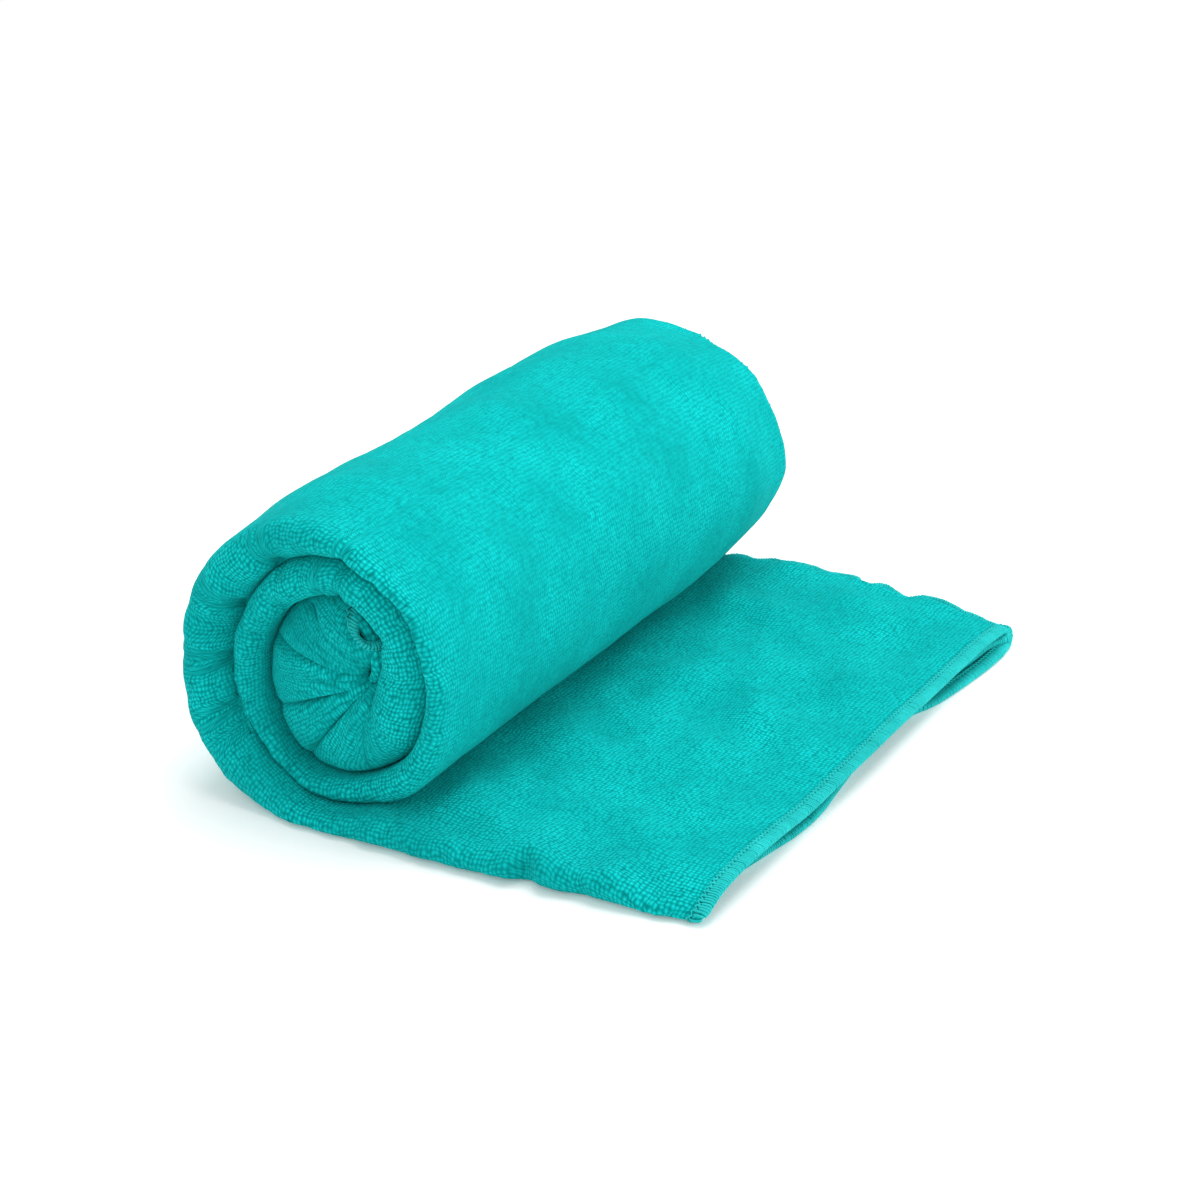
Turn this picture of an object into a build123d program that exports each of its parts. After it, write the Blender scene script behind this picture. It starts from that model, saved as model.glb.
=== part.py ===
"""A quick dry towel, folded lengthwise in three layers and rolled up from one end.

Frame: origin on the floor under the middle of the whole towel. +X runs from the roll to the
loose end, +Y along the roll's axis, +Z up. Millimetres.

The cloth is one panel with an overlocked seam along each of its four edges. Here the panel is
parted twice: where it goes under the roll, and where the loose end bends when it is lifted.
"""
import os

from build123d import *

# Driving dimensions
FOLDED_WIDTH = 256.0        # along the roll's axis
ROLL_HEIGHT = 110.0
OVERALL_LENGTH = 212.0      # from the roll's outer side to the loose end's hem
LAYER = 3.0                 # one layer of terry cloth
SLACK = 1.0                 # air between two layers of the folded strip
WRAP_CLEARANCE = 0.6        # air between two turns of the roll
FLATTENING = 3.0            # half of the short straight run under and over each turn
HALF_TURNS = 8
OVERLOCK = 6.0              # width of the overlocked seams
NEAR_FLAP_EDGE_Y = 121.0    # where the wide flap, folded in underneath, ends
FAR_FLAP_EDGE_Y = 28.0      # where the narrow flap, tucked between the layers, ends
HINGE_FROM_ROLL = 42.0      # from the roll's middle to the line where the loose end bends
CUT = 0.4                   # gap at that line

# Worked out from them
STACK = 3 * LAYER + 2 * SLACK
ROLL_X = -OVERALL_LENGTH / 2 + ROLL_HEIGHT / 2 + FLATTENING
HEM_X = OVERALL_LENGTH / 2
HINGE_X = ROLL_X + HINGE_FROM_ROLL
NEAR_Y = -FOLDED_WIDTH / 2
FAR_Y = FOLDED_WIDTH / 2
TOP_LAYER_H = 2 * (LAYER + SLACK)
MIDDLE_LAYER_H = LAYER + SLACK
NEAR_FOLD_R = STACK / 2
FAR_FOLD_R = (STACK - MIDDLE_LAYER_H) / 2
HALF_TURN_STEP = (STACK + WRAP_CLEARANCE) / 2


def layer(y_from, y_to, height):
    """One flat layer of the section, standing at this height over the underside."""
    rectangle = Rectangle(y_to - y_from, LAYER, align=(Align.MIN, Align.MIN))
    return Pos(y_from, height) * rectangle


def fold(y, height, radius, side):
    """The rounded fold at one edge. side is -1 for the near edge and 1 for the far edge."""
    ring = Circle(radius) - Circle(radius - LAYER)
    half = Pos(side * radius, 0) * Rectangle(2 * radius, 2 * radius)
    return Pos(y, height) * (ring & half)


def cloth_section():
    """The panel's three layers and two folds, without the seams along its sides."""
    near_fold_y = NEAR_Y + NEAR_FOLD_R
    far_fold_y = FAR_Y - FAR_FOLD_R
    section = layer(near_fold_y, far_fold_y, TOP_LAYER_H)
    section += fold(near_fold_y, NEAR_FOLD_R, NEAR_FOLD_R, -1)
    section += layer(near_fold_y, NEAR_FLAP_EDGE_Y - OVERLOCK, 0)
    section += fold(far_fold_y, STACK - FAR_FOLD_R, FAR_FOLD_R, 1)
    section += layer(FAR_FLAP_EDGE_Y + OVERLOCK, far_fold_y, MIDDLE_LAYER_H)
    return section


def near_side_section():
    """The seam on the edge of the wide flap, in the lowest layer."""
    return layer(NEAR_FLAP_EDGE_Y - OVERLOCK, NEAR_FLAP_EDGE_Y, 0)


def far_side_section():
    """The seam on the edge of the narrow flap, in the middle layer."""
    return layer(FAR_FLAP_EDGE_Y, FAR_FLAP_EDGE_Y + OVERLOCK, MIDDLE_LAYER_H)


def end_section():
    """The whole folded width, for the seams on the two ends."""
    return cloth_section() + near_side_section() + far_side_section()


def place_under(x, z):
    """The section's plane under a turn, with its underside at z and its layers upwards."""
    return Plane(origin=(x, 0, z), x_dir=(0, 1, 0), z_dir=(1, 0, 0))


def place_over(x, z):
    """The section's plane over a turn, with its underside at z and its layers downwards."""
    return Plane(origin=(x, 0, z), x_dir=(0, 1, 0), z_dir=(-1, 0, 0))


def rolled(section):
    """Wind a section inwards in half turns, from under the roll to its core."""
    solid = Part()
    low = 0.0
    high = ROLL_HEIGHT
    for turn in range(HALF_TURNS):
        goes_up = turn % 2 == 0
        axis_x = ROLL_X - FLATTENING if goes_up else ROLL_X + FLATTENING
        axis_z = (low + high) / 2
        place = place_under(axis_x, low) if goes_up else place_over(axis_x, high)
        axis = Axis((axis_x, 0, axis_z), (0, 1, 0))
        solid += revolve(place * section, axis=axis, revolution_arc=180)
        if goes_up:
            low += 2 * HALF_TURN_STEP
        else:
            high -= 2 * HALF_TURN_STEP
        if turn < HALF_TURNS - 1:
            solid += crossing(section, goes_up, low, high)
    return solid


def crossing(section, at_top, low, high):
    """The short straight run between two half turns."""
    if at_top:
        place = place_over(ROLL_X + FLATTENING, high)
    else:
        place = place_under(ROLL_X - FLATTENING, low)
    return extrude(place * section, 2 * FLATTENING)


def core_end(section):
    """The end of the strip in the roll's core, just past the last half turn."""
    underside = HALF_TURNS * HALF_TURN_STEP
    place = place_under(ROLL_X + FLATTENING - OVERLOCK, underside)
    return extrude(place * section, OVERLOCK)


def lying(section, x_from, x_to):
    """A straight length of the strip, lying on the floor."""
    return extrude(place_under(x_from, 0) * section, x_to - x_from)


def build():
    """Every node by name."""
    under_from = ROLL_X - FLATTENING
    under_to = HINGE_X - CUT / 2
    loose_from = HINGE_X + CUT / 2
    loose_to = HEM_X - OVERLOCK
    near_side = near_side_section()
    far_side = far_side_section()
    return {
        "rolled_cloth": rolled(cloth_section()),
        "cloth_under_roll": lying(cloth_section(), under_from, under_to),
        "near_side_overlock_rolled": rolled(near_side) + lying(near_side, under_from, under_to),
        "far_side_overlock_rolled": rolled(far_side) + lying(far_side, under_from, under_to),
        "core_end_overlock": core_end(end_section()),
        "loose_end_cloth": lying(cloth_section(), loose_from, loose_to),
        "near_side_overlock_loose": lying(near_side, loose_from, loose_to),
        "far_side_overlock_loose": lying(far_side, loose_from, loose_to),
        "loose_end_overlock": lying(end_section(), loose_to, HEM_X),
    }


os.makedirs("parts", exist_ok=True)
for name, shape in build().items():
    export_step(shape, f"parts/{name}.step")
    box = shape.bounding_box()
    print(name, round(shape.volume), [round(v, 1) for v in (*box.min, *box.max)])
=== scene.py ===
"""A quick dry towel: folded lengthwise, rolled up from one end, the loose end lying flat.

The cloth is built as what it is: one long sheet. Its section is folded in three layers, and the
folded strip is wound into the roll. A place on the strip has three coordinates:
  u  millimetres along the strip, from the loose end's hem to the roll's core
  y  millimetres across it, as in the frame
  k  from 0, the strip's underside and the roll's outside, to 1, its top and the roll's inside
Shapes are worked out in millimetres and written to the meshes in metres.
"""
import math

import bpy
import numpy as np
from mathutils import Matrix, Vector


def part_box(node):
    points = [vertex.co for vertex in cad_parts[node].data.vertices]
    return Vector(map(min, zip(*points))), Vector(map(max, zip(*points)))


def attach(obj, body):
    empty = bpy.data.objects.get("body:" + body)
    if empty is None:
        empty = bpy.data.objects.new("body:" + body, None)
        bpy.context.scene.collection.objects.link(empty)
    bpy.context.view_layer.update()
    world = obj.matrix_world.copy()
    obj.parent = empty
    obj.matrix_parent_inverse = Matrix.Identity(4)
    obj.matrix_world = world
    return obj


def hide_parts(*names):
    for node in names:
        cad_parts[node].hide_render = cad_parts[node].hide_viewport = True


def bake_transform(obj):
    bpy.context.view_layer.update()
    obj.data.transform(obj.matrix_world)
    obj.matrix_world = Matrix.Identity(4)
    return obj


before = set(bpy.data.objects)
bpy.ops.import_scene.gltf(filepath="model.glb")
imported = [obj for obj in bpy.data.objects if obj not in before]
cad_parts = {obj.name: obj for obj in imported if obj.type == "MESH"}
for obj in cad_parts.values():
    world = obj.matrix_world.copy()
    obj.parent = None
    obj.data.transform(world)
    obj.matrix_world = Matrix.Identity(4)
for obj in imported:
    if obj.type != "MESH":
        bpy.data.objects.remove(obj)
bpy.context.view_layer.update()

MM = 0.001


def box_mm(node):
    """A node's lowest and highest corners, in millimetres."""
    low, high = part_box(node)
    return np.array(low) / MM, np.array(high) / MM


roll_low, roll_high = box_mm("rolled_cloth")
hem_low, hem_high = box_mm("loose_end_overlock")

# ---------------------------------------------------------------- sizes from the frame
RADIUS = roll_high[2] / 2
ROLL_X = roll_low[0] + RADIUS
ROLL_Z = RADIUS
HEM_X = hem_high[0]
NEAR = roll_low[1]
FAR = roll_high[1]
SEAM = hem_high[0] - hem_low[0]
TUCKED_EDGE = box_mm("far_side_overlock_rolled")[0][1]
TAIL = HEM_X - ROLL_X                       # length of the strip that lies on the floor
CLOTH = 2.5                                 # thickness of the terry
HALF = CLOTH / 2
GAP = 0.1                                   # from the cloth to the boundary between two turns
REST_GAP = 0.3                              # from the loose end's top to the roll that rests on it
SEAMED = 0.66                               # how thin the cloth is under a seam, as a share
TUCKED_K = 0.42                             # where the tucked flap lies between the layers
STRIP = (600.0, 965.0)                      # the cloth's flat width, and the length made here
CORE_END = 936.0                            # degrees of winding where the strip's end shows


# ---------------------------------------------------------------- small helpers
def smoothstep(low, high, value):
    t = np.clip((value - low) / (high - low), 0, 1)
    return t * t * (3 - 2 * t)


def bump(value, centre, width):
    """A soft hump of height 1."""
    return np.exp(-(((value - centre) / width) ** 2))


def curve_through(knots, softness):
    """A smooth function through (place, value) knots, rounded over this many units of place."""
    place, value = np.array(knots, float).T
    reach = int(3 * softness)
    grid = np.arange(place[0] - reach, place[-1] + reach + 1.0)
    kernel = np.exp(-0.5 * (np.arange(-reach, reach + 1) / softness) ** 2)
    padded = np.pad(np.interp(grid, place, value), reach, mode="edge")
    table = np.convolve(padded, kernel / kernel.sum(), "valid")
    return lambda at: np.interp(at, grid, table)


def ripples(a, b, wavelength, seed, count=14):
    """Smooth random waves over two coordinates in millimetres, about 1 high."""
    rng = np.random.default_rng(seed)
    total = np.zeros(np.broadcast(a, b).shape)
    for _ in range(count):
        angle = rng.uniform(0, 2 * math.pi)
        pitch = wavelength * rng.uniform(0.6, 1.6)
        phase = rng.uniform(0, 2 * math.pi)
        along = a * math.cos(angle) + b * math.sin(angle)
        total = total + np.sin(2 * math.pi * along / pitch + phase)
    return total / math.sqrt(count / 2)


# ---------------------------------------------------------------- how the strip is wound
# The boundary between one turn and the next, as a radius over the degrees of winding from the
# place where the strip leaves the floor. Outside it is the turn that starts 360 degrees earlier.
near_boundary = curve_through([
    (0, 55), (14, 56.5), (30, 59.3), (48, 59.8), (66, 57.6), (90, 54.4), (130, 53.2), (180, 54.8),
    (270, 55.5), (315, 56), (342, 51), (360, 48), (395, 40), (450, 33.4), (478, 32), (505, 34.5),
    (519, 37.5), (540, 41), (559, 46.5), (575, 48), (592, 49.5), (617, 48.8), (630, 47), (645, 45.7),
    (661, 45.5), (678, 43.5), (703, 42), (732, 41), (748, 35), (764, 28.5), (795, 22.5), (815, 21),
    (839, 20.2), (885, 22.5), (931, 30.3), (948, 32.2), (960, 30.6), (972, 27.6), (984, 24.4),
    (1000, 22.6), (1060, 24), (1080, 23), (1296, 19),
], 5)
far_boundary = curve_through([
    (0, 55), (60, 56.5), (90, 57.5), (125, 58.8), (150, 58.5), (185, 57.3), (215, 57.3), (250, 56),
    (285, 55), (320, 53.6), (345, 50.5), (360, 48), (450, 42), (540, 43.5), (630, 44), (720, 36),
    (810, 31), (900, 31.5), (990, 31), (1080, 24), (1170, 21), (1260, 21), (1300, 21),
], 9)
INNER_RADIUS = 20.4                         # the hidden winding inside the core
INNER_STEP = 5.3                            # how much each of its turns takes off the radius
INNER_HALF = 0.72                           # half of its cloth's thickness, wound up tight
# The strip's last two thirds of a turn gather to this line at the near end, where its creases meet.
pinch_x = curve_through([(600, 25), (690, 22.8), (860, 22.5), (900, 24.0), (940, 25.8)], 8)
pinch_z = curve_through([(600, 4), (690, -1.0), (860, 0.5), (900, 5.0), (940, 12.8)], 8)
PINCH_RADIUS = 2.2                          # of the little tube that the gathered cloth leaves there


def boundary(degrees, y):
    """The radius between two turns, from the near end's shape to the far end's.
    Degrees run from the floor up the back, over the top and down to the loose end."""
    share = smoothstep(NEAR - 10, 30, y)
    radius = near_boundary(degrees) * (1 - share) + far_boundary(degrees) * share
    # The roll tapers to its far end, most over the top and where it comes down to the loose end.
    upper = smoothstep(110, 160, degrees) * (1 - smoothstep(215, 275, degrees))
    lower = smoothstep(262, 292, degrees) * (1 - smoothstep(330, 350, degrees))
    radius = radius - (6.5 * upper + 4.6 * lower) * smoothstep(74, FAR + 8, y) ** 1.3
    # A low swelling and a low hollow over the top and the back.
    back = smoothstep(110, 140, degrees) * (1 - smoothstep(195, 235, degrees))
    radius = radius + back * (1.6 * bump(y, -86, 22) - 1.7 * bump(y, -4, 34))
    return radius + outer_wrinkles(degrees, y)


def outer_wrinkles(degrees, y):
    """Soft wrinkles on the outside of the roll, none where it rests on something."""
    free = smoothstep(15, 60, degrees) * (1 - smoothstep(285, 335, degrees))
    round_it = degrees * (RADIUS * math.pi / 180)
    waves = 0.45 * ripples(round_it, y, 70, 3) + 0.2 * ripples(round_it * 0.5, y, 22, 4)
    ridges = 0.9 * bump(y, 97 + 0.03 * (degrees - 250), 3) + 0.7 * bump(y, 78, 3.5)
    ridges = ridges * bump(degrees, 245, 32)
    return free * (waves + ridges)


def winding_table():
    """Degrees of winding over millimetres along the strip, from the middle of its thickness."""
    degrees = np.arange(0.0, CORE_END + 1)
    middle = 0.25 * (near_boundary(degrees) + near_boundary(degrees + 360))
    middle += 0.25 * (far_boundary(degrees) + far_boundary(degrees + 360))
    length = np.concatenate([[0], np.cumsum(np.radians(1) * middle[:-1])])
    return TAIL + length, degrees


WOUND_U, WOUND_DEGREES = winding_table()


def degrees_at(u):
    return np.interp(u, WOUND_U, WOUND_DEGREES)


def u_at(degrees):
    return float(np.interp(degrees, WOUND_DEGREES, WOUND_U))


# The height of the hem's top over y.
hem_height = curve_through([
    (-135, 3), (-124, 4.6), (-116, 8.2), (-108, 9.6), (-100, 10.3), (-90, 10.7), (-80, 10.3),
    (-68, 9.8), (-50, 8.5), (-38, 8.7), (-24, 9.8), (-6, 10.4), (19, 10.5), (50, 9.8), (76, 10.1),
    (100, 10.3), (112, 9.6), (128, 7.6),
], 3)
# How far the lower layers' ends lie behind the top layer's, which opens two gaps along the hem.
hem_behind = curve_through([
    (-135, 0), (-122, 2.0), (-112, 6.5), (-98, 8.6), (-86, 6.6), (-66, 3.4), (-56, 1.6), (-44, 1.0),
    (-33, 1.6), (-19, 4.0), (0, 6.6), (20, 9.0), (38, 8.6), (50, 6.0), (58, 2.6), (66, 0.8),
    (82, -1.2), (100, -2.9), (114, -3.4), (124, -2.2), (132, -0.6),
], 2)
TUCKED_BEHIND = 5.0                         # how much further the tucked flap's end lies behind it
THREAD_ROOM = 0.4                           # left at the hem for its threads
HEM_END = HEM_X - HALF - THREAD_ROOM        # x of the middle surface at the hem


def tail_height(t, y):
    """The height of the loose end's top, t millimetres out from under the roll's middle.
    It is wavy in the open, and has two soft ridges, two hollows, and the hem's own height."""
    height = 10.9 - 3.6 * bump(t, 0, 24)
    open_air = smoothstep(25, 60, t)
    height = height + open_air * (0.95 * ripples(t * 1.25, y, 52, 11) + 0.3 * ripples(t, y * 0.6, 17, 12))
    height = height + open_air * 1.4 * bump(t * 0.75 + y * 0.66, 55, 10) * smoothstep(-10, 60, y)
    height = height - open_air * 1.3 * bump(t * 0.8 + y * 0.6, 30, 12) * smoothstep(-40, 30, y)
    height = height - open_air * 1.6 * bump(y, 72, 16) * bump(t, 128, 17)
    height = height - 1.5 * bump(y, 118, 14) * bump(t, 131, 13)
    at_hem = smoothstep(TAIL - 42, TAIL - 2, t)
    height = height * (1 - at_hem) + hem_height(y) * at_hem
    return np.maximum(height, 2 * CLOTH + 0.4)


def under_roll(t):
    """The roll's height over the floor, t millimetres out from under its middle."""
    radius = near_boundary(360 - np.degrees(np.arcsin(np.clip(t / 60, 0, 0.95))))
    return RADIUS - np.sqrt(np.maximum(radius ** 2 - t ** 2, 0))


def lying_place(u, y, k):
    """x and z of a point of the loose end's middle surface."""
    t = TAIL - u
    under = np.where(t < 50, under_roll(t) - REST_GAP, 99)
    top = np.minimum(tail_height(t, y), under) - HALF
    behind = hem_behind(y) * (1 - smoothstep(0.35, 1.0, k))
    tucked = bump(k, TUCKED_K, 0.15) * smoothstep(16, 40, y) * (1 - smoothstep(112, 126, y))
    behind = behind + TUCKED_BEHIND * tucked
    # The whole hem stands out a little in its middle and beside its near corner.
    behind = (behind - 0.9 * bump(y, -4, 30) - 0.3 * bump(y, -119, 8)) * (1 - smoothstep(0, 42, u))
    return HEM_END - u * (HEM_END - ROLL_X) / TAIL - behind, HALF + k * (top - HALF)


def wound_place(u, y, k):
    """x and z of a point of the roll's middle surface."""
    degrees = degrees_at(u)
    outer = boundary(degrees, y) - HALF - GAP
    inner = boundary(degrees + 360, y) + HALF + GAP
    way_x = -np.sin(np.radians(degrees))
    way_z = -np.cos(np.radians(degrees))
    # At the near end the inside of the last two thirds of a turn is drawn in to the pinch.
    pinched = (1 - smoothstep(NEAR + 6, NEAR + 60, y)) * smoothstep(640, 700, degrees)
    pinch_at_x = pinch_x(degrees) + PINCH_RADIUS * way_x
    pinch_at_z = pinch_z(degrees) + PINCH_RADIUS * way_z
    inner_x = inner * way_x * (1 - pinched) + pinched * pinch_at_x
    inner_z = inner * way_z * (1 - pinched) + pinched * pinch_at_z
    # At the strip's end the fold bows to one side, and its hem follows an arc.
    hollow = 3.6 * pinched * smoothstep(896, CORE_END, degrees) * 4 * k * (1 - k)
    x = ROLL_X + outer * way_x * (1 - k) + inner_x * k - 0.75 * hollow
    z = ROLL_Z + outer * way_z * (1 - k) + inner_z * k - 0.66 * hollow
    return x, z


def place(u, y, k):
    """A point of the cloth's middle surface in the frame, in millimetres."""
    u, y, k = np.broadcast_arrays(u, y, k)
    flat_x, flat_z = lying_place(u, y, k)
    wound_x, wound_z = wound_place(u, y, k)
    lying = u < TAIL
    return np.stack([np.where(lying, flat_x, wound_x), y, np.where(lying, flat_z, wound_z)], -1)


def place_inside(u, y, k):
    """A point of the hidden winding in the core, u millimetres on from the strip's visible end.
    Its first stretch spreads outwards at the near end, to the back of the core's hem."""
    u, y, k = np.broadcast_arrays(u, y, k)
    step = INNER_STEP / (2 * math.pi)
    start = INNER_RADIUS - INNER_STEP / 2
    middle = np.sqrt(np.maximum(start ** 2 - 2 * step * u, 1.0))
    angle = math.radians(CORE_END) + (start - middle) / step
    spread = (1 - smoothstep(NEAR + 14, NEAR + 50, y)) * (1 - smoothstep(11, 25, u))
    radius = middle + 8.6 * spread + (INNER_STEP / 2 - INNER_HALF - 0.23) * (1 - 2 * k)
    return np.stack([ROLL_X - radius * np.sin(angle), y, ROLL_Z - radius * np.cos(angle)], -1)


# ---------------------------------------------------------------- the folded section
PETALS = (731, 762, 826)                    # the creases that part the gathered core, in degrees
PETAL_AXES = (715, 746, 794, 880)           # the middles of the parts between them
# Creases across the near end's folds: degrees of winding, half width in degrees, depth in
# millimetres, the k of the middle, and how far it reaches in k.
CREASES = [
    # in the core: the three that part it, and small ones between them
    (PETALS[0], 3.2, 10.0, 1.0, 0.75), (PETALS[1], 4.2, 10.0, 1.0, 0.7),
    (PETALS[2], 5.0, 10.0, 1.0, 0.8), (742, 2.0, 2.0, 1.0, 0.45), (775, 3.0, 2.2, 1.0, 0.4),
    (795, 3.0, 3.0, 1.0, 0.42), (811, 2.6, 2.2, 1.0, 0.4), (884, 4.5, 3.0, 0.0, 0.3),
    # in the outer turn, pockets beside the turn within it
    (45, 6.0, 6.0, 1.0, 0.22), (57, 4.6, 10.0, 1.0, 0.24), (82, 5.2, 11.5, 1.0, 0.25),
    (117, 5.2, 11.5, 1.0, 0.25), (99, 9.0, 6.0, 1.0, 0.26), (158, 4.4, 9.0, 1.0, 0.23),
    (199, 3.0, 6.0, 1.0, 0.24), (180, 9.0, 2.0, 1.0, 0.3),
    # in the second turn
    (520, 4.0, 3.5, 0.05, 0.3), (560, 3.0, 4.0, 0.05, 0.3), (508, 8.0, 3.0, 1.0, 0.35),
    (548, 3.0, 7.0, 1.0, 0.32), (560, 4.0, 5.0, 1.0, 0.3), (470, 5.0, 2.4, 0.75, 0.4),
    (600, 6.0, 1.8, 0.9, 0.4),
]
PRESS_LIMIT = 12                            # the deepest that the creases press together


# Where the crest of each near fold lies: above 1 it is nearer the strip's underside.
near_skew = curve_through([
    (0, 1.0), (30, 1.1), (100, 1.3), (200, 1.25), (260, 1.1), (330, 1.0), (600, 1.0), (800, 1.0),
    (865, 0.6), (940, 0.6),
], 9)
# How far the near folds stand out on the roll, as y from the roll's middle, over degrees.
near_wound = curve_through([
    (0, -137.2), (40, -134.8), (75, -130.4), (110, -127.4), (180, -126.4), (270, -124.6),
    (330, -125), (400, -125.6), (500, -124.6), (640, -124), (720, -123.6), (940, -123),
], 9)
HALF_WIDTH = 128                            # half of the rolled width that those y belong to


def near_crest(u):
    """How far out the folds at the near edge stand, as y."""
    t = np.clip(TAIL - u, 0, TAIL)
    lying = NEAR - 9.3 + 14.8 * (t / TAIL) ** 1.9
    wound = NEAR + HALF_WIDTH + near_wound(degrees_at(u)) + 0.5 * ripples(u, 0 * u, 38, 21)
    on_roll = smoothstep(TAIL - 12, TAIL + 25, u)
    return lying * (1 - on_roll) + wound * on_roll


# How far the far folds of the loose end stand out, as y over t.
far_lying = curve_through([
    (0, 131), (28, 132), (57, 136), (80, 136.8), (105, 133.8), (133, 130), (142, 128.8),
    (151, 128.4), (157, 127.8),
], 4)


def far_crest(u):
    """How far out the folds at the far edge stand, as y."""
    degrees = degrees_at(u)
    wound = FAR + 3.8 - 2.4 * smoothstep(300, 700, degrees) + 0.8 * ripples(u, 0 * u, 34, 22)
    on_roll = smoothstep(TAIL - 12, TAIL + 25, u)
    return far_lying(np.clip(TAIL - u, 0, TAIL)) * (1 - on_roll) + wound * on_roll


def fold_depth(u, y):
    """How far the folds reach in from their crests: about half of the strip's thickness."""
    low = place(u, y, 0.0)
    high = place(u, y, 1.0)
    return np.clip(0.5 * np.linalg.norm(high - low, axis=-1) + HALF, 4.0, 10.5)


# The curl of the wide flap's hem round the far folds: its radius along y, and in k, and its turn.
CURL = (6.5, 0.62, math.radians(122))


def section(near, far, near_in, far_in, skew, spacing):
    """y and k of the folded section for each row, and how far each point is in the end folds.
    It runs from the wide flap's hem along the underside, round the near fold, back along the
    top, round the far fold, and ends with the tucked flap. near and far are the folds' crests,
    near_in and far_in their depths. spacing is the underside's step, the top's step, and the
    near fold's number of points."""
    out_step, in_step, near_count = spacing
    near, far, near_in, far_in, skew = (a[:, None] for a in (near, far, near_in, far_in, skew))
    near_y, far_y = near + near_in, far - 2.5 - far_in
    one = np.ones_like(near_y)
    curl = np.linspace(CURL[2], 0, 13)[None, :]
    outside = 1 - (1 - np.linspace(0, 1, int((FAR - NEAR) / out_step))[None, 1:]) ** 1.25
    near_turn = np.linspace(0, math.pi, near_count)[None, 1:]
    inside = np.linspace(0, 1, int((FAR - NEAR) / in_step))[None, 1:-1] ** 1.25
    far_turn = np.linspace(0, math.pi, 12)[None, :]
    tucked = np.linspace(0, 1, 16)[None, 1:]
    flap_y = far - CURL[0]
    ys = [flap_y + CURL[0] * np.sin(curl), flap_y + (near_y - flap_y) * outside,
          near_y - near_in * np.sin(near_turn), near_y + (far_y - near_y) * inside,
          far_y + far_in * np.sin(far_turn), far_y + (TUCKED_EDGE - far_y) * tucked]
    ks = [CURL[1] * (1 - np.cos(curl)) * one, 0 * outside * one, (0.5 - 0.5 * np.cos(near_turn)) ** skew,
          one + 0 * inside, one * (TUCKED_K + (1 - TUCKED_K) * (1 + np.cos(far_turn)) / 2),
          one * TUCKED_K + 0 * tucked]
    near_part = [0 * curl, 0 * outside, np.sin(near_turn), 0 * inside, 0 * far_turn, 0 * tucked]
    far_part = [np.sin(curl), 0 * outside, 0 * near_turn, 0 * inside, np.sin(far_turn), 0 * tucked]
    y = np.concatenate([a + 0 * one for a in ys], 1)
    k = np.concatenate([a + 0 * one for a in ks], 1)
    return y, k, np.concatenate(near_part, 1), np.concatenate(far_part, 1)


def creased(u, y, k, on_near, on_far):
    """Press the creases and small puckers into the folds at both ends."""
    off_roll = -40.0                        # degrees that no crease comes near
    degrees = np.where(u < TAIL, off_roll, degrees_at(u))
    press = np.zeros_like(y)
    for at, half_width, depth, k_at, k_reach in CREASES:
        press += depth * bump(degrees, at, half_width) * bump(k, k_at, k_reach)
    rough = 0.35 * ripples(u, k * 12, 13, 31) + 0.2 * ripples(u, k * 12, 6, 32)
    pucker = np.maximum(ripples(u, k * 5, 20, 33), 0) ** 2
    deep_edge = smoothstep(0.0, 0.35, on_near)
    y = y + deep_edge * np.minimum(press, PRESS_LIMIT) + on_near * (rough + 0.45 * pucker)
    return y - on_far * (rough + 0.8 * pucker)


# ---------------------------------------------------------------- meshes
def grid_normals(points):
    along = np.gradient(points, axis=0)
    across = np.gradient(points, axis=1)
    normal = np.cross(along, across)
    return normal / np.maximum(np.linalg.norm(normal, axis=-1, keepdims=True), 1e-9)


def grid_faces(rows, columns, offset, flip):
    index = offset + np.arange(rows * columns).reshape(rows, columns)
    a, b = index[:-1, :-1].ravel(), index[1:, :-1].ravel()
    c, d = index[1:, 1:].ravel(), index[:-1, 1:].ravel()
    return np.stack([a, d, c, b] if flip else [a, b, c, d], 1)


def rim_faces(rows, columns):
    """Faces that close the gap between the two sides of a sheet along its border."""
    index = np.arange(rows * columns).reshape(rows, columns)
    loop = np.concatenate([index[:-1, 0], index[-1, :-1], index[:0:-1, -1], index[0, :0:-1]])
    after = np.roll(loop, -1)
    other = rows * columns
    return np.stack([loop, loop + other, after + other, after], 1)


def mesh_object(name, points_mm, faces, cloth=None):
    mesh = bpy.data.meshes.new(name)
    mesh.from_pydata((points_mm * MM).tolist(), [], faces.tolist())
    mesh.validate()
    mesh.polygons.foreach_set("use_smooth", np.ones(len(mesh.polygons), bool))
    if cloth is not None:
        attribute = mesh.attributes.new("cloth", "FLOAT_VECTOR", "POINT")
        attribute.data.foreach_set("vector", cloth.astype(np.float32).ravel())
    made = bpy.data.objects.new(name, mesh)
    bpy.context.scene.collection.objects.link(made)
    return made


def sheet_object(name, points, coords, half):
    """A cloth of this half thickness round a grid of points, with its own coordinates."""
    rows, columns = points.shape[:2]
    normal = grid_normals(points)
    top = (points + normal * half[..., None]).reshape(-1, 3)
    back = (points - normal * half[..., None]).reshape(-1, 3)
    sides = [grid_faces(rows, columns, 0, False), grid_faces(rows, columns, rows * columns, True)]
    faces = np.concatenate(sides + [rim_faces(rows, columns)])
    front = coords.reshape(-1, 3)
    behind = front + np.array([0.37, 0.61, 0.0])
    made = mesh_object(name, np.concatenate([top, back]), faces, np.concatenate([front, behind]))
    made.data.set_sharp_from_angle(angle=math.radians(70))
    return made


def lengths_across(points, start):
    """Millimetres along each row of points, from its start column."""
    steps = np.linalg.norm(np.diff(points, axis=1), axis=-1)
    across = np.concatenate([np.zeros((len(points), 1)), np.cumsum(steps, axis=1)], 1)
    return across - across[:, start:start + 1]


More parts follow.
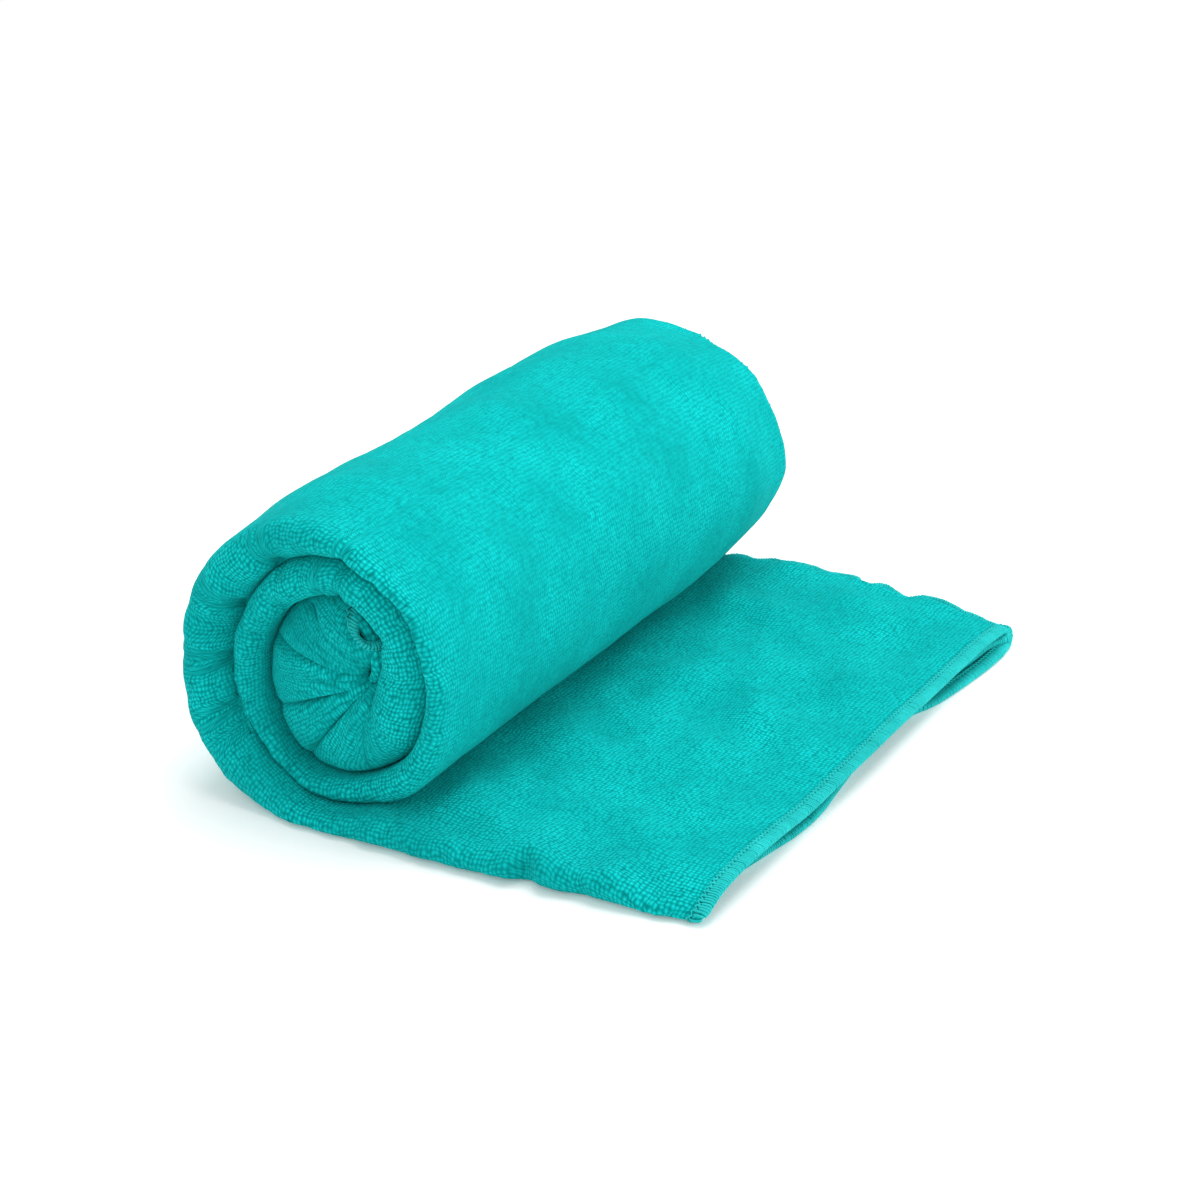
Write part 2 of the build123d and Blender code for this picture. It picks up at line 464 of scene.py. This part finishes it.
def terry_coordinates(u, y, k, points, on_near, on_far, openness):
    """Where each point is in the pile's rows of loops, and how far its loops stand open.
    In the gathered core the rows run across the parts between the creases."""
    # The rows are counted from the middle of the top layer.
    middle = int(np.argmin(np.abs(y[0]) + 99 * (k[0] < 0.9)))
    across = lengths_across(points, middle)
    along = np.broadcast_to(u[:, None], across.shape).copy()
    degrees = degrees_at(u)[:, None]
    gathered = (degrees > 690) & (u[:, None] > TAIL)
    petal = np.digitize(degrees, PETALS) + 0 * across
    axis = np.choose(petal.astype(int), PETAL_AXES)
    arm_x = points[..., 0] - ROLL_X - pinch_x(degrees)
    arm_z = points[..., 2] - ROLL_Z - pinch_z(degrees)
    along = np.where(gathered, axis + np.radians(degrees - axis) * np.hypot(arm_x, arm_z), along)
    folded = smoothstep(0.0, 0.8, np.maximum(on_near, 0.8 * on_far))
    near_fold = (1 - smoothstep(NEAR + 4, NEAR + 26, y)) * 0.55
    opened = np.clip(openness + np.maximum(folded, near_fold), 0, 1)
    return np.stack([along, across, opened], -1)


def thinned(u, points):
    """Half the cloth's thickness, less under the seams along its edges."""
    from_side = np.minimum(lengths_across(points, 0), -lengths_across(points, points.shape[1] - 1))
    sides = smoothstep(SEAM * 0.6, SEAM * 1.2, from_side)
    ends = smoothstep(SEAM * 0.6, SEAM * 1.2, np.minimum(u, abs(CORE - u)))[:, None]
    return HALF * (SEAMED + (1 - SEAMED) * sides * ends)


def strip_piece(name, u_from, u_to, step, spacing, openness):
    """One stretch of the strip, as a cloth, in rows this step apart."""
    u = np.linspace(u_from, u_to, int((u_to - u_from) / step) + 1)
    near, far = near_crest(u), far_crest(u)
    near_in, far_in = fold_depth(u, 0 * u + NEAR), 0.6 * fold_depth(u, 0 * u + FAR)
    skew = np.where(u > TAIL, near_skew(degrees_at(u)), 1.0)
    y, k, on_near, on_far = section(near, far, near_in, far_in, skew, spacing)
    uu = np.broadcast_to(u[:, None], y.shape)
    points = place(uu, y, k)
    points[..., 1] = creased(uu, y, k, on_near, on_far)
    coords = terry_coordinates(u, y, k, points, on_near, on_far, openness)
    piece = sheet_object(name, points, coords, thinned(u, points))
    finish(piece, TERRY)
    return piece, points


def inside_piece(name, length):
    """The rest of the strip, wound up tight in the core and a little back from the near end."""
    step = 3.0
    u = np.linspace(0, length, int(length / step))
    near = NEAR + 9.0 + 3 * smoothstep(12, 20, u) + 3 * smoothstep(20, 40, u)
    far = 0 * u + FAR + 0.5 - 0.008 * u
    y, k, on_near, on_far = section(near, far, 0 * u + 2.2, 0 * u + 1.6, 0 * u + 1, (9, 9, 10))
    points = place_inside(u[:, None], y, k)
    points[..., 1] += on_near * 0.5 * ripples(u, 0 * u, 15, 41)[:, None]
    coords = terry_coordinates(u, y, k, points, on_near, on_far, 0.5)
    piece = sheet_object(name, points, coords, INNER_HALF + 0 * y)
    finish(piece, TERRY)
    return piece, points


# ---------------------------------------------------------------- seams
STITCH = 2.1                                # length of one stitch along the seam
# One thread's way over the cloth's edge: how far in from the edge, and how far off its middle.
RIB_PATH = [(1.0, 0.85), (0.84, 1.2), (0.5, 1.25), (0.14, 1.15), (-0.05, 0.7), (-0.08, 0.0),
            (-0.05, -0.7), (0.14, -1.15), (0.5, -1.25), (0.84, -1.2), (1.0, -0.85)]
RIB_HALF = (0.52, 0.32)                     # half of a thread bundle's width and height
REACH = (3.3, 4.2)                          # how far in the threads are locked, in turn
CORE_REACH = (4.5, 5.5)                     # the same for the core's hem
CHAIN_HALF = (0.36, 0.34)                   # half of the chain's width and height
SWAY = 0.6                                  # how far the chain goes to either side


def tubes(lines, wide, wide_mm, high_mm, sides=6):
    """Tubes round many lines at once. wide is the unit direction of each tube's width."""
    lines = np.asarray(lines)
    count, length = lines.shape[:2]
    along = np.gradient(lines, axis=1)
    along /= np.maximum(np.linalg.norm(along, axis=-1, keepdims=True), 1e-9)
    high = np.cross(along, wide)
    high /= np.maximum(np.linalg.norm(high, axis=-1, keepdims=True), 1e-9)
    side = np.cross(high, along)
    angle = np.arange(sides) * 2 * math.pi / sides
    ring = side[..., None, :] * (wide_mm * np.cos(angle))[:, None]
    ring = ring + high[..., None, :] * (high_mm * np.sin(angle))[:, None]
    points = (lines[..., None, :] + ring).reshape(-1, 3)
    index = np.arange(count * length * sides).reshape(count, length, sides)
    nxt = np.roll(index, -1, axis=2)
    walls = np.stack([index[:, :-1], nxt[:, :-1], nxt[:, 1:], index[:, 1:]], -1).reshape(-1, 4)
    faces = [walls]
    half = sides // 2
    for end, flip in ((index[:, 0], True), (index[:, -1], False)):
        for i in range(half - 1):
            quad = np.stack([end[:, i], end[:, i + 1], end[:, sides - 2 - i], end[:, sides - 1 - i]], -1)
            faces.append(quad[:, ::-1] if flip else quad)
    return points, np.concatenate(faces)


def resampled(layers, pitch):
    """Lines that run side by side, all cut at even steps of the pitch along the first one."""
    steps = np.linalg.norm(np.diff(layers[0], axis=0), axis=1)
    place_on = np.concatenate([[0], np.cumsum(steps)])
    at = np.linspace(0, place_on[-1], max(4, int(place_on[-1] / pitch)))
    cut = [[np.interp(at, place_on, layer[:, i]) for i in range(3)] for layer in layers]
    return np.array(cut).transpose(0, 2, 1)


def unit(vectors):
    return vectors / np.maximum(np.linalg.norm(vectors, axis=-1, keepdims=True), 1e-9)


def into_cloth(points, normals, depth, off):
    """Points this deep in from the edge, and this far off the middle surface, for each rib."""
    steps = np.linalg.norm(np.diff(points, axis=0), axis=-1).mean(1)
    levels = np.concatenate([[0], np.cumsum(steps)])
    level = np.clip(np.interp(depth, levels, np.arange(len(levels))), 0, len(levels) - 1.001)
    low = level.astype(int)
    share = (level - low)[..., None]
    rib = np.arange(points.shape[1])[:, None]
    at = points[low, rib] * (1 - share) + points[low + 1, rib] * share
    away = unit(normals[low, rib] * (1 - share) + normals[low + 1, rib] * share)
    outward = unit(points[0] - points[1])[:, None]
    return at + away * off[..., None] + outward * np.maximum(-depth, 0)[..., None]


def seam_object(name, points, normals, coarse=1.0, reach=REACH):
    """An overlocked seam: threads over the cloth's edge, locked in a zigzag chain.
    points and normals are the cloth's lines from its edge inwards. coarse is how many times
    the usual stitch length and thread width it has; a coarse seam has no chain."""
    lines = resampled(np.concatenate([points, normals]), STITCH / 2 * coarse)
    points, normals = lines[:len(points)], unit(lines[len(points):])
    along = unit(np.gradient(points[0], axis=0))
    count = points.shape[1]
    rng = np.random.default_rng(5)
    uneven = rng.normal(0, 0.08, (count, 1))
    turn = (np.arange(count) % 2)[:, None]
    depth = reach[0] * (1 - turn) + reach[1] * turn + uneven
    path = np.array(RIB_PATH)
    ribs = into_cloth(points, normals, path[None, :, 0] * depth, path[None, :, 1] + 0 * depth)
    slant = np.linspace(-0.5, 0.5, len(path))[None, :] * coarse + uneven
    ribs = ribs + along[:, None] * slant[..., None]
    made, faces = tubes(ribs, along[:, None] + 0 * ribs, RIB_HALF[0] * coarse, RIB_HALF[1])
    made, faces = [made], [faces]
    for side in (1.0, -1.0) if coarse == 1 else ():
        sway = np.where(turn == 0, -SWAY, SWAY)
        chain = into_cloth(points, normals, sum(reach) / 2 + 0.25 + sway, side * (1.36 - 0.12 * sway))[:, 0]
        inward = unit(points[1] - points[0])
        chain_points, chain_faces = tubes(chain[None], (inward + 0 * chain)[None], *CHAIN_HALF)
        faces.append(chain_faces + sum(len(p) for p in made))
        made.append(chain_points)
    piece = mesh_object(name, np.concatenate(made), np.concatenate(faces))
    finish(piece, THREAD)
    return piece


# ---------------------------------------------------------------- materials
def socket(node, name, value):
    node.inputs[name].default_value = value


def material(name):
    made = bpy.data.materials.new(name)
    made.use_nodes = True
    nodes = made.node_tree.nodes
    nodes.clear()
    output = nodes.new("ShaderNodeOutputMaterial")
    shader = nodes.new("ShaderNodeBsdfPrincipled")
    made.node_tree.links.new(shader.outputs[0], output.inputs[0])
    return made, nodes, made.node_tree.links, shader


PAINTED_SHADE_BETWEEN_LOOPS = (0.0004, 0.200, 0.194, 1)            # painted shade between the loops
MAIN = (0.0016, 0.470, 0.460, 1)
PAINTED_LIGHT_ON_CROWNS = (0.0140, 0.760, 0.745, 1)           # painted light on their crowns
ROW = 1.62                                  # from one row of loops to the next, in millimetres
LOOP = 1.35                                 # from one loop to the next along a row
THREAD_DARK = (0.007, 0.43, 0.42, 1)
THREAD_LIGHT = (0.024, 0.66, 0.645, 1)


class Graph:
    """Short calls for the nodes of one material."""

    def __init__(self, name):
        self.material, self.nodes, self.links, self.shader = material(name)

    def add(self, kind, inputs=(), **settings):
        node = self.nodes.new(kind)
        for key, value in settings.items():
            setattr(node, key, value)
        for key, value in dict(inputs).items():
            if isinstance(value, bpy.types.NodeSocket):
                self.links.new(value, node.inputs[key])
            else:
                node.inputs[key].default_value = value
        return node

    def math(self, operation, a, b, c=0.0):
        return self.add("ShaderNodeMath", {0: a, 1: b, 2: c}, operation=operation).outputs[0]

    def vector(self, operation, a, b, c=(0, 0, 0)):
        return self.add("ShaderNodeVectorMath", {0: a, 1: b, 2: c}, operation=operation).outputs[0]

    def noise(self, where, scale, detail):
        return self.add("ShaderNodeTexNoise", {"Vector": where, "Scale": scale, "Detail": detail})

    def remap(self, value, low, high, to_low, to_high):
        inputs = {"Value": value, "From Min": low, "From Max": high, "To Min": to_low, "To Max": to_high}
        return self.add("ShaderNodeMapRange", inputs).outputs[0]

    def ramp(self, value, stops):
        node = self.add("ShaderNodeValToRGB", {"Fac": value})
        elements = node.color_ramp.elements
        elements[0].position, elements[0].color = stops[0]
        elements[1].position, elements[1].color = stops[-1]
        for position, color in stops[1:-1]:
            elements.new(position).color = color
        return node.outputs["Color"]


def terry_material():
    """Looped pile: rows of little loops, with painted light on their crowns and painted shade between them,
    fluffed where the cloth is flat.
    """
    g = Graph("terry")
    own = g.add("ShaderNodeAttribute", attribute_name="cloth").outputs["Vector"]
    opened = g.add("ShaderNodeSeparateXYZ", {0: own}).outputs["Z"]
    flat = g.vector("MULTIPLY", own, (1, 1, 0))
    wander = g.noise(flat, 0.11, 2.0).outputs["Color"]
    fine_wander = g.noise(flat, 0.55, 2.0).outputs["Color"]
    moved = g.vector("MULTIPLY_ADD", wander, (2.6, 3.4, 0), flat)
    moved = g.vector("MULTIPLY_ADD", fine_wander, (0.7, 0.9, 0), moved)
    grid = g.vector("MULTIPLY", moved, (1 / ROW, 1 / LOOP, 0))
    loops = g.add("ShaderNodeTexVoronoi", {"Vector": grid, "Scale": 1.0, "Randomness": 0.32},
                  voronoi_dimensions="2D", feature="F1").outputs["Distance"]
    crowns = g.remap(loops, 0.60, 0.08, 0.0, 1.0)
    fibres = g.noise(flat, 2.1, 3.0).outputs["Fac"]
    clumps = g.noise(flat, 0.30, 3.0).outputs["Fac"]
    broad = g.noise(flat, 0.035, 3.0).outputs["Fac"]
    patchy = g.remap(broad, 0.3, 0.7, -0.11, 0.11)
    # How far the loops stand open sets the depth of their relief and how strong the painted shade between
    # them is.
    clear = g.math("ADD", g.remap(opened, 0.0, 1.0, 0.22, 0.46), patchy)
    height = g.math("MULTIPLY_ADD", g.math("SUBTRACT", crowns, 0.5), clear, 0.22)
    height = g.math("MULTIPLY_ADD", fibres, 0.30, height)
    height = g.math("MULTIPLY_ADD", clumps, 0.32, height)
    # The loops' height also sets their colour: painted shade between the loops, painted light on their
    # crowns.
    color = g.ramp(height, [(0.20, PAINTED_SHADE_BETWEEN_LOOPS), (0.55, MAIN), (0.95, PAINTED_LIGHT_ON_CROWNS)])
    tone = g.remap(broad, 0.3, 0.7, 0.86, 1.13)
    shaded = g.add("ShaderNodeVectorMath", {0: color, "Scale": tone}, operation="SCALE").outputs[0]
    g.links.new(shaded, g.shader.inputs["Base Color"])
    relief = g.add("ShaderNodeBump", {"Strength": 0.7, "Distance": 0.0008, "Height": height}).outputs[0]
    g.links.new(relief, g.shader.inputs["Normal"])
    socket(g.shader, "Roughness", 0.95)
    socket(g.shader, "Specular IOR Level", 0.02)
    socket(g.shader, "Sheen Weight", 0.10)
    socket(g.shader, "Sheen Roughness", 0.5)
    socket(g.shader, "Sheen Tint", (0.08, 1.0, 0.99, 1))
    return g.material


def thread_material():
    """Fluffed polyester thread, lighter and smoother than the pile."""
    g = Graph("overlock_thread")
    where = g.add("ShaderNodeTexCoord").outputs["Object"]
    fibres = g.noise(where, 2600.0, 2.0).outputs["Fac"]
    broad = g.noise(where, 120.0, 2.0).outputs["Fac"]
    mixed = g.math("MULTIPLY_ADD", broad, 0.5, g.math("MULTIPLY", fibres, 0.5))
    color = g.ramp(mixed, [(0.3, THREAD_DARK), (0.7, THREAD_LIGHT)])
    g.links.new(color, g.shader.inputs["Base Color"])
    bump_inputs = {"Strength": 0.4, "Distance": 0.0002, "Height": fibres}
    relief = g.add("ShaderNodeBump", bump_inputs).outputs[0]
    g.links.new(relief, g.shader.inputs["Normal"])
    socket(g.shader, "Roughness", 0.65)
    socket(g.shader, "Specular IOR Level", 0.06)
    socket(g.shader, "Sheen Weight", 0.03)
    socket(g.shader, "Sheen Roughness", 0.4)
    return g.material


TERRY = terry_material()
THREAD = thread_material()


def finish(piece, look):
    piece.data.materials.append(look)


# ---------------------------------------------------------------- camera, light and floor
def add_camera():
    """The view over the near end from the right, with the loose end towards the viewer."""
    around, up = math.radians(30.9), math.radians(24.7)
    distance = 1.012
    target = Vector((ROLL_X + 41.7, 1.1, 41.8)) * MM
    level = math.cos(up)
    back = Vector((math.sin(around) * level, -math.cos(around) * level, math.sin(up)))
    data = bpy.data.cameras.new("camera")
    data.sensor_width = 36
    data.lens = 81
    camera = bpy.data.objects.new("camera", data)
    camera.location = target + back * distance
    camera.rotation_euler = (-back).to_track_quat("-Z", "Y").to_euler()
    bpy.context.scene.collection.objects.link(camera)
    bpy.context.scene.camera = camera


def add_light(name, direction, distance, size, watts):
    """A square area light that looks at the middle of the floor from this direction."""
    data = bpy.data.lights.new(name, "AREA")
    data.size = size
    data.energy = watts
    light = bpy.data.objects.new(name, data)
    light.location = Vector(direction).normalized() * distance
    light.rotation_euler = (-light.location).to_track_quat("-Z", "Y").to_euler()
    bpy.context.scene.collection.objects.link(light)


def add_studio():
    """White light from all around and three soft lights, over a white floor."""
    world = bpy.data.worlds.new("studio")
    bpy.context.scene.world = world
    world.use_nodes = True
    world.node_tree.nodes["Background"].inputs["Color"].default_value = (1, 1, 1, 1)
    world.node_tree.nodes["Background"].inputs["Strength"].default_value = 0.66
    add_light("top", (0.0, 0.2, 1.0), 1.4, 1.1, 12)
    add_light("front", (0.0, -1.0, 1.2), 1.8, 1.0, 3.0)
    add_light("right", (1.0, 0.36, 0.30), 2.0, 1.4, 15)
    bpy.context.scene.view_settings.view_transform = "Standard"
    size = 6.0
    corners = np.array([(-1, -1, 0), (1, -1, 0), (1, 1, 0), (-1, 1, 0)]) * size / MM
    floor = mesh_object("floor", corners, np.array([[0, 1, 2, 3]]))
    floor.location.z = -0.0002
    made, _, _, shader = material("floor")
    socket(shader, "Base Color", (0.93, 0.93, 0.93, 1))
    socket(shader, "Roughness", 0.9)
    socket(shader, "Specular IOR Level", 0.1)
    socket(shader, "Emission Color", (1, 1, 1, 1))
    socket(shader, "Emission Strength", 0.16)
    floor.data.materials.append(made)


add_camera()
add_studio()

# ---------------------------------------------------------------- the cloth
FIRST = TAIL + 1.0                          # where the strip leaves the floor
SECOND = u_at(350)
THIRD = u_at(645)
CORE = u_at(CORE_END)

loose, loose_points = strip_piece("loose_end_terry", 0.0, FIRST, 1.6, (6, 2.0, 20), 0.6)
first, first_points = strip_piece("first_turn_terry", FIRST, SECOND, 1.6, (3.2, 7, 26), 0.0)
second, second_points = strip_piece("second_turn_terry", SECOND, THIRD, 1.4, (6, 6, 26), 0.1)
core, core_points = strip_piece("core_terry", THIRD, CORE, 0.9, (6, 6, 34), 0.3)
inside, inside_points = inside_piece("hidden_winding_terry", STRIP[1] - CORE)

for piece in (first, second, core, inside):
    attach(piece, "roll")
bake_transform(loose)
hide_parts("rolled_cloth")
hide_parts("loose_end_cloth", "cloth_under_roll")


# ---------------------------------------------------------------- the seams
def end_seam(name, points, rows, reach):
    """The seam over a strip's end, on these rows of its points, from the end inwards."""
    return seam_object(name, points[rows], grid_normals(points)[rows], 1.0, reach)


def side_seam(name, points, columns, coarse):
    """The seam along a side of the cloth, on these columns of its points, from the side inwards."""
    lines = points[:, columns].transpose(1, 0, 2)
    return seam_object(name, lines, grid_normals(points)[:, columns].transpose(1, 0, 2), coarse)


hem = end_seam("loose_end_seam", loose_points, [0, 1, 2, 3, 4, 5], REACH)
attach(hem, "loose_end")
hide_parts("loose_end_overlock")
core_hem = end_seam("core_end_seam", core_points, [-1, -3, -5, -7, -9], CORE_REACH)
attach(core_hem, "roll")
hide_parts("core_end_overlock")

sides = (("near_side", [0, 1, 2, 3, 4, 5, 6, 7], 1.0), ("far_side", [-1, -2, -3], 3.0))
for side, columns, coarse in sides:
    lying = side_seam(side + "_seam_loose", loose_points, columns, coarse)
    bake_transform(lying)
    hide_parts(side + "_overlock_loose")
    outer = side_seam(side + "_seam_first_turn", first_points, columns, coarse)
    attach(outer, "roll")
    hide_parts(side + "_overlock_rolled")
    further = (("second_turn", second_points), ("core", core_points),
               ("hidden_winding", inside_points))
    for turn, points in further:
        wound = side_seam(side + "_seam_" + turn, points, columns, coarse)
        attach(wound, "roll")
